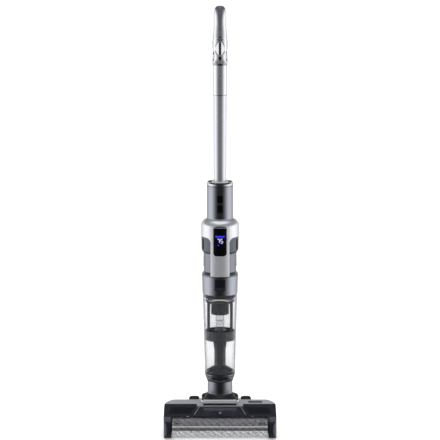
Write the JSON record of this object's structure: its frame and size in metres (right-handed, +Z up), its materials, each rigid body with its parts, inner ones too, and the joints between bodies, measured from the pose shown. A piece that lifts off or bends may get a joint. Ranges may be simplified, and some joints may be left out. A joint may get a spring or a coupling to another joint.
{
  "type": "wet dry floor scrubber",
  "caption": "Upright cordless stick floor washer with a plush roller head, a clear dirty-water tank, a round motor body with display, and a slim handle.",
  "frame": {"origin": "on the floor under the middle of the machine's box", "axes": "+X to the right, -Y to the front, +Z up"},
  "size_m": [0.29, 0.2445, 1.1014],
  "materials": {
    "dark_gloss": "dark gunmetal gloss",
    "grey_gloss": "dark grey gloss",
    "navy_gloss": "near-black navy gloss",
    "silver_shell": "satin silver lacquer",
    "white_shell": "pale grey moulded",
    "head_silver": "satin grey metallic",
    "black_matte": "moulded black",
    "pale_grey": "moulded light grey",
    "tube_metal": "satin anodised",
    "steel": "turned",
    "chrome": "polished",
    "clear_tank": "clear moulded plastic",
    "smoke_window": "smoky clear moulded plastic",
    "display": "black glass",
    "plush": "grey microfibre plush",
    "tyre": "matt",
    "seal": "soft matt",
    "board": "printed circuit board",
    "cell_wrap": "shrink wrapped cells",
    "lamp": "frosted lens"
  },
  "bodies": {
    "floor_head": {"head_chassis": "black_matte", "head_top_shell": "head_silver", "right_cheek": "dark_gloss", "left_cheek": "dark_gloss", "trim_bar": "chrome", "suction_duct": "black_matte", "brush_motor": "steel", "drive_belt": "seal", "spray_bar": "black_matte", "rear_squeegee": "seal", "wheel_axles": "steel", "pivot_pins": "steel", "head_screws": "steel"},
    "motor_drive": {"motor_pulley": "black_matte"},
    "latch_button": {"head_latch": "black_matte"},
    "roller_cover": {"brush_cover": "navy_gloss", "cover_inlays": "dark_gloss", "head_lamp_lens": "lamp", "brush_window": "smoke_window"},
    "roller": {"brush_core": "black_matte", "brush_pile": "plush", "brush_end_cap": "black_matte", "brush_pulley": "black_matte"},
    "right_wheel": {"right_wheel_hub": "black_matte", "right_tyre": "tyre"},
    "left_wheel": {"left_wheel_hub": "black_matte", "left_tyre": "tyre"},
    "recline_yoke": {"yoke": "black_matte"},
    "upright": {"swivel_neck": "grey_gloss", "tank_seat": "grey_gloss", "rear_spine": "white_shell", "charge_socket": "black_matte", "main_housing": "grey_gloss", "silver_shell": "silver_shell", "display_glass": "display", "right_pod": "grey_gloss", "left_pod": "grey_gloss", "suction_motor": "steel", "water_pump": "black_matte", "control_board": "board", "battery_housing": "dark_gloss", "battery_cells": "cell_wrap", "chrome_ring": "chrome", "tube_collar": "pale_grey"},
    "fan": {"impeller": "pale_grey"},
    "waste_tank": {"dirty_tank": "clear_tank", "tank_lid": "dark_gloss", "tank_seal": "seal", "tank_filter": "black_matte", "tank_strainer": "black_matte", "riser_tube": "black_matte"},
    "tank_button": {"tank_latch": "dark_gloss"},
    "float": {"tank_float": "pale_grey"},
    "water_tank": {"clean_tank": "clear_tank", "clean_tank_cap": "seal"},
    "handle": {"handle_tube": "tube_metal", "handle_sleeve": "silver_shell", "handle_front_shell": "silver_shell", "handle_rear_shell": "black_matte"},
    "power_switch": {"power_button": "dark_gloss"}
  },
  "joints": [
    {"name": "cover_lift", "type": "slide", "parent": "floor_head", "child": "roller_cover", "axis": [0, 0, 1], "range_m": [0, 0.06]},
    {"name": "cover_latch_press", "type": "slide", "parent": "floor_head", "child": "latch_button", "axis": [0, 0, -1], "range_m": [0, 0.0014], "stiffness_N_per_m": 600, "springref_m": -0.001},
    {"name": "roller_spin", "type": "hinge", "parent": "floor_head", "child": "roller", "pos_m": [0, -0.09, 0.028], "axis": [1, 0, 0], "continuous": true},
    {"name": "motor_spin", "type": "hinge", "parent": "floor_head", "child": "motor_drive", "pos_m": [-0.12, -0.038, 0.025], "axis": [1, 0, 0], "continuous": true},
    {"name": "right_wheel_spin", "type": "hinge", "parent": "floor_head", "child": "right_wheel", "pos_m": [0.068, 0.086, 0.033], "axis": [1, 0, 0], "continuous": true},
    {"name": "left_wheel_spin", "type": "hinge", "parent": "floor_head", "child": "left_wheel", "pos_m": [-0.068, 0.086, 0.033], "axis": [1, 0, 0], "continuous": true},
    {"name": "recline", "type": "hinge", "parent": "floor_head", "child": "recline_yoke", "pos_m": [0, 0.03, 0.045], "axis": [-1, 0, 0], "range_deg": [0, 75]},
    {"name": "swivel", "type": "hinge", "parent": "recline_yoke", "child": "upright", "pos_m": [0, 0.03, 0.072], "axis": [0, 0, 1], "range_deg": [-45, 45]},
    {"name": "fan_spin", "type": "hinge", "parent": "upright", "child": "fan", "pos_m": [0, 0.03, 0.42], "axis": [0, 0, 1], "continuous": true},
    {"name": "tank_pull", "type": "slide", "parent": "upright", "child": "waste_tank", "axis": [0, -1, 0], "range_m": [0, 0.12]},
    {"name": "tank_button_press", "type": "slide", "parent": "waste_tank", "child": "tank_button", "axis": [0, 1, 0], "range_m": [0, 0.0012], "stiffness_N_per_m": 600, "springref_m": -0.001},
    {"name": "float_rise", "type": "slide", "parent": "waste_tank", "child": "float", "axis": [0, 0, 1], "range_m": [0, 0.012]},
    {"name": "water_tank_lift", "type": "slide", "parent": "upright", "child": "water_tank", "axis": [0, 0, 1], "range_m": [0, 0.06]},
    {"name": "handle_pull", "type": "slide", "parent": "upright", "child": "handle", "axis": [0, 0, 1], "range_m": [0, 0.05]},
    {"name": "power_press", "type": "slide", "parent": "handle", "child": "power_switch", "axis": [0, 1, 0], "range_m": [0, 0.0015], "stiffness_N_per_m": 600, "springref_m": -0.001}
  ],
  "couplings": [
    {"joint": "motor_spin", "follows": "roller_spin", "ratio": 1.5556}
  ]
}
